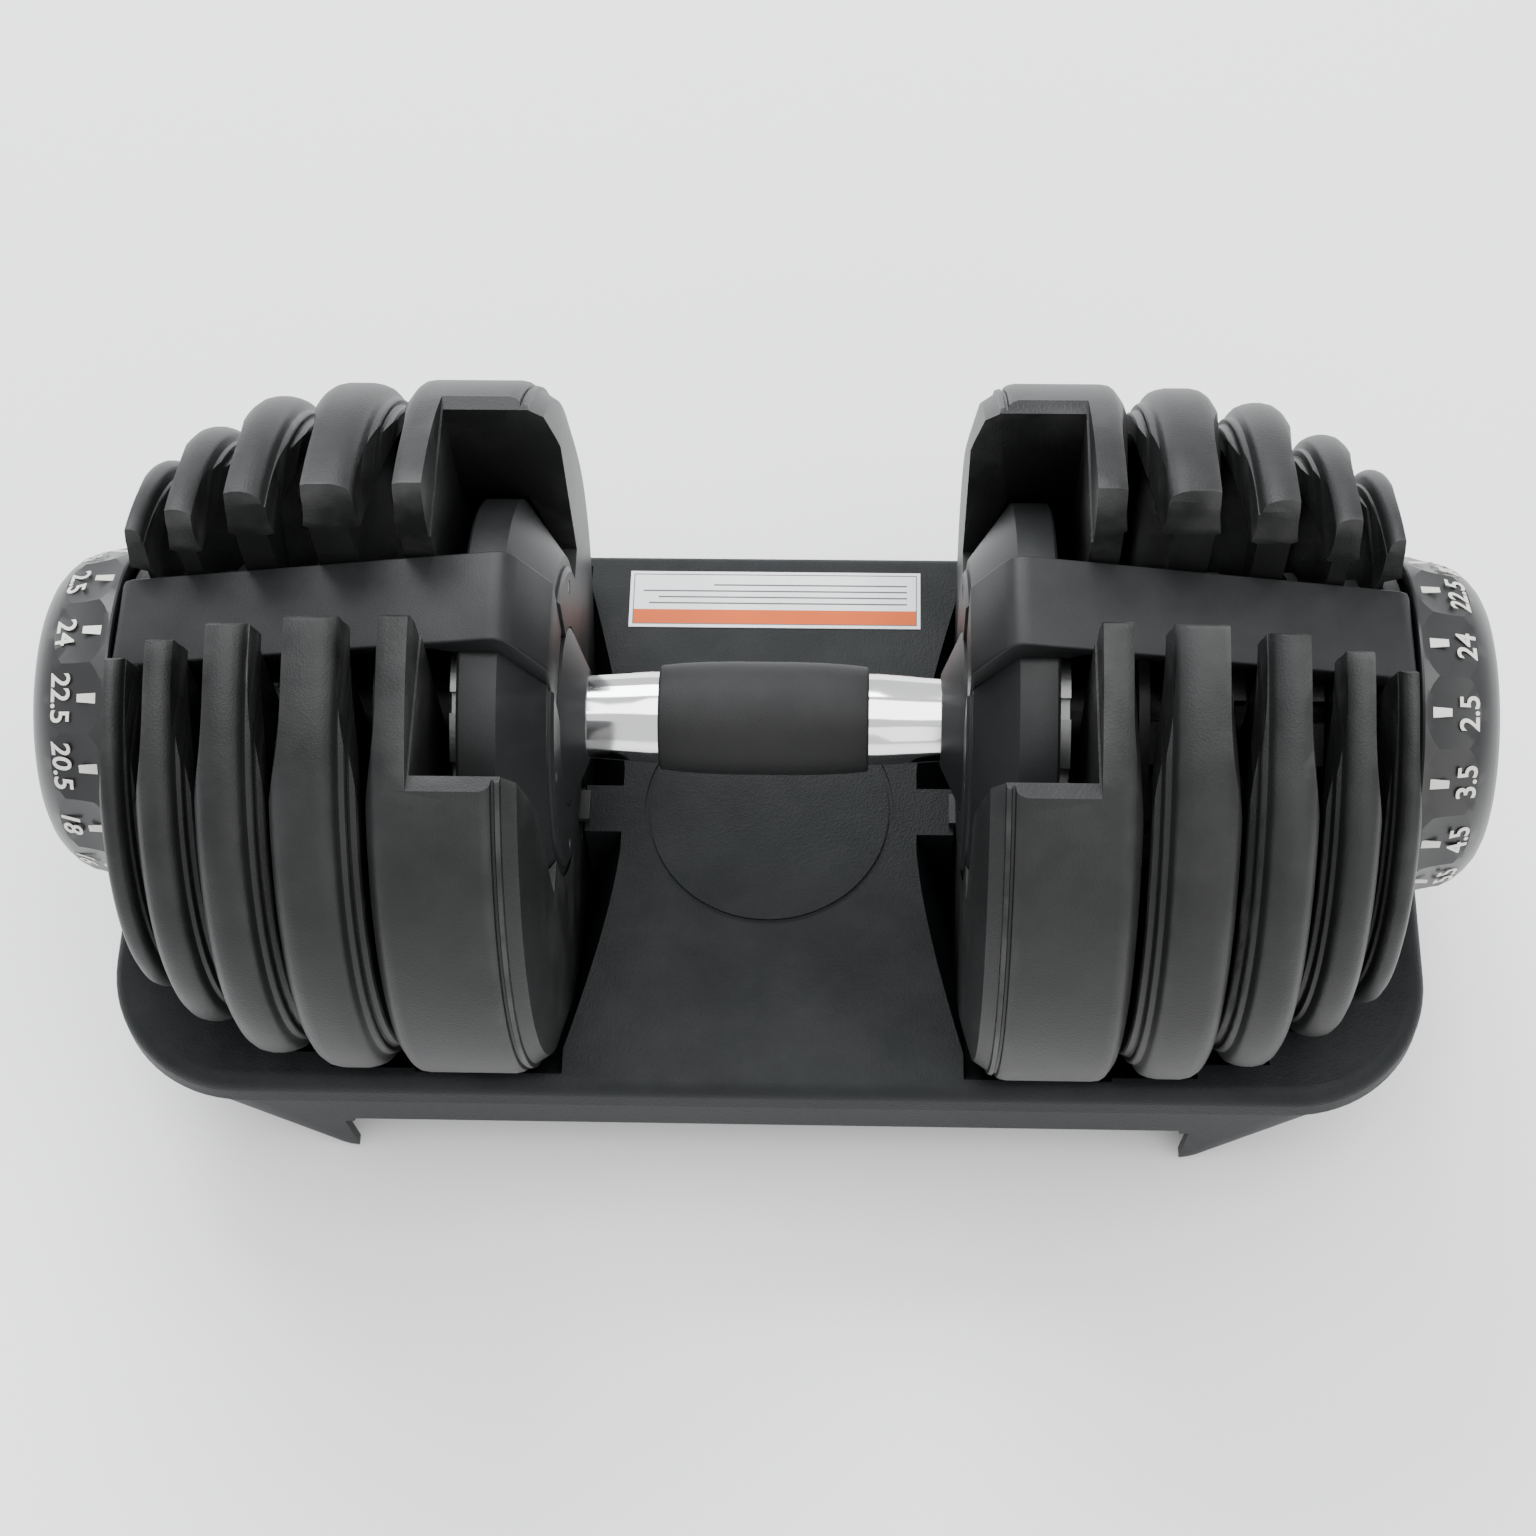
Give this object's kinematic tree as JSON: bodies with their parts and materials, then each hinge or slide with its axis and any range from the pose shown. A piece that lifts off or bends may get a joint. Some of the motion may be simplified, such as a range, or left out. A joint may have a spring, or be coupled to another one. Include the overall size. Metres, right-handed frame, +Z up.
{
  "type": "adjustable dumbbell",
  "caption": "Adjustable dumbbell resting in its cradle: chrome handle with rubber grip, nested U-slotted weight plates at each end and a numbered selector dial outside them.",
  "frame": {"origin": "centre of the whole part's footprint, on the floor under the cradle's feet", "axes": "+X along the handle, +Y to the back, +Z up"},
  "size_m": [0.412, 0.204, 0.2231],
  "materials": {
    "tray_plastic": "fine leather-grain texture, dark slate",
    "foot_rubber": "matt",
    "screw_steel": "zinc plated",
    "label_paper": "satin sticker, white with an orange band",
    "chrome": "polished",
    "grip_rubber": "matt, fine grain",
    "hub_plastic": "satin",
    "dial_plastic": "satin gloss with pale printed figures",
    "disc_steel": "bright zinc plated",
    "plate_iron": "dark grey moulded coating, fine grain, scuffed edges"
  },
  "bodies": {
    "cradle": {"tray_top": "tray_plastic", "tray_base": "tray_plastic", "tray_feet": "foot_rubber", "tray_screws": "screw_steel", "tray_label": "label_paper"},
    "handle": {"handle_tube": "chrome", "handle_grip": "grip_rubber", "collar_right": "hub_plastic", "collar_left": "hub_plastic", "hub_housing_right": "hub_plastic", "hub_housing_left": "hub_plastic", "hub_cover_right": "hub_plastic", "hub_cover_left": "hub_plastic", "cover_screws_right": "screw_steel", "cover_screws_left": "screw_steel", "bridge_right": "hub_plastic", "bridge_left": "hub_plastic", "end_bracket_right": "hub_plastic", "end_bracket_left": "hub_plastic", "core_rod_right": "disc_steel", "core_rod_left": "disc_steel", "lock_yoke_right": "disc_steel", "lock_yoke_left": "disc_steel", "lock_spring_right": "screw_steel", "lock_spring_left": "screw_steel", "dial_cap_right": "hub_plastic", "dial_cap_left": "hub_plastic"},
    "dial_assembly_right": {"dial_right": "dial_plastic", "disc_sleeve_right": "disc_steel", "disc_1_right": "disc_steel", "disc_2_right": "disc_steel", "disc_3_right": "disc_steel", "disc_4_right": "disc_steel", "disc_5_right": "disc_steel"},
    "weight_1_right": {"plate_1_right": "plate_iron"},
    "weight_2_right": {"plate_2_right": "plate_iron"},
    "weight_3_right": {"plate_3_right": "plate_iron"},
    "weight_4_right": {"plate_4_right": "plate_iron"},
    "weight_5_right": {"plate_5_right": "plate_iron"},
    "dial_assembly_left": {"dial_left": "dial_plastic", "disc_sleeve_left": "disc_steel", "disc_1_left": "disc_steel", "disc_2_left": "disc_steel", "disc_3_left": "disc_steel", "disc_4_left": "disc_steel", "disc_5_left": "disc_steel"},
    "weight_1_left": {"plate_1_left": "plate_iron"},
    "weight_2_left": {"plate_2_left": "plate_iron"},
    "weight_3_left": {"plate_3_left": "plate_iron"},
    "weight_4_left": {"plate_4_left": "plate_iron"},
    "weight_5_left": {"plate_5_left": "plate_iron"}
  },
  "joints": [
    {"name": "handle_lift", "type": "slide", "parent": "cradle", "child": "handle", "axis": [0, 0, 1], "range_m": [0, 0.15]},
    {"name": "dial_turn_right", "type": "hinge", "parent": "handle", "child": "dial_assembly_right", "pos_m": [0.19, 0, 0.1305], "axis": [1, 0, 0], "continuous": true},
    {"name": "weight_lift_1_right", "type": "slide", "parent": "cradle", "child": "weight_1_right", "axis": [0, 0, 1], "range_m": [0, 0.15]},
    {"name": "weight_lift_2_right", "type": "slide", "parent": "cradle", "child": "weight_2_right", "axis": [0, 0, 1], "range_m": [0, 0.15]},
    {"name": "weight_lift_3_right", "type": "slide", "parent": "cradle", "child": "weight_3_right", "axis": [0, 0, 1], "range_m": [0, 0.15]},
    {"name": "weight_lift_4_right", "type": "slide", "parent": "cradle", "child": "weight_4_right", "axis": [0, 0, 1], "range_m": [0, 0.15]},
    {"name": "weight_lift_5_right", "type": "slide", "parent": "cradle", "child": "weight_5_right", "axis": [0, 0, 1], "range_m": [0, 0.15]},
    {"name": "dial_turn_left", "type": "hinge", "parent": "handle", "child": "dial_assembly_left", "pos_m": [-0.19, 0, 0.1305], "axis": [1, 0, 0], "continuous": true},
    {"name": "weight_lift_1_left", "type": "slide", "parent": "cradle", "child": "weight_1_left", "axis": [0, 0, 1], "range_m": [0, 0.15]},
    {"name": "weight_lift_2_left", "type": "slide", "parent": "cradle", "child": "weight_2_left", "axis": [0, 0, 1], "range_m": [0, 0.15]},
    {"name": "weight_lift_3_left", "type": "slide", "parent": "cradle", "child": "weight_3_left", "axis": [0, 0, 1], "range_m": [0, 0.15]},
    {"name": "weight_lift_4_left", "type": "slide", "parent": "cradle", "child": "weight_4_left", "axis": [0, 0, 1], "range_m": [0, 0.15]},
    {"name": "weight_lift_5_left", "type": "slide", "parent": "cradle", "child": "weight_5_left", "axis": [0, 0, 1], "range_m": [0, 0.15]}
  ],
  "couplings": [
    {"joint": "weight_lift_1_right", "follows": "handle_lift", "ratio": 1},
    {"joint": "weight_lift_2_right", "follows": "handle_lift", "ratio": 1},
    {"joint": "weight_lift_3_right", "follows": "handle_lift", "ratio": 1},
    {"joint": "weight_lift_4_right", "follows": "handle_lift", "ratio": 1},
    {"joint": "weight_lift_5_right", "follows": "handle_lift", "ratio": 1},
    {"joint": "weight_lift_1_left", "follows": "handle_lift", "ratio": 1},
    {"joint": "weight_lift_2_left", "follows": "handle_lift", "ratio": 1},
    {"joint": "weight_lift_3_left", "follows": "handle_lift", "ratio": 1},
    {"joint": "weight_lift_4_left", "follows": "handle_lift", "ratio": 1},
    {"joint": "weight_lift_5_left", "follows": "handle_lift", "ratio": 1}
  ]
}
